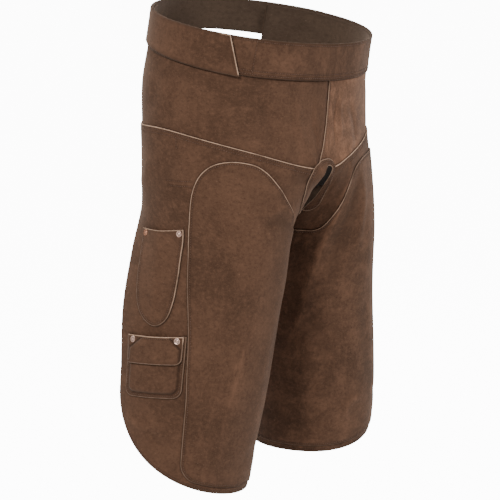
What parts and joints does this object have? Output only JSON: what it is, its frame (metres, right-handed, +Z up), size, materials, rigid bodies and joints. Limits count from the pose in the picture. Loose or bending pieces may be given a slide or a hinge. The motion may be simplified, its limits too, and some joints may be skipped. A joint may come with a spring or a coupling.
{
  "type": "farrier apron",
  "caption": "Split-leg suede farrier apron in its worn form: waistband with its belt, hip and leg panels, arched wear patches, knife pocket and flap pocket with rivets.",
  "frame": {"origin": "middle of the waist ring, halfway up the waistband", "axes": "+Z up, -Y to the wearer's front, +X to the wearer's left"},
  "size_m": [0.4761, 0.3045, 0.74],
  "materials": {
    "suede": "brown suede, napped and mottled",
    "belt_suede": "brown suede, cut edges",
    "webbing": "dark brown woven webbing",
    "rivet": "polished copper rivet cap"
  },
  "bodies": {
    "root": {"yoke_right": "suede", "yoke_left": "suede", "leg_right": "suede", "leg_left": "suede", "wear_patch_right": "suede", "wear_patch_left": "suede", "crotch_patch": "suede", "knife_pocket": "suede", "tool_pocket": "suede", "tool_pocket_flap": "suede", "waistband": "belt_suede", "waist_strap": "belt_suede", "thigh_strap_right": "webbing", "thigh_strap_left": "webbing", "knife_rivet_front": "rivet", "knife_rivet_rear": "rivet", "tool_rivet_front": "rivet", "tool_rivet_rear": "rivet"}
  },
  "joints": []
}
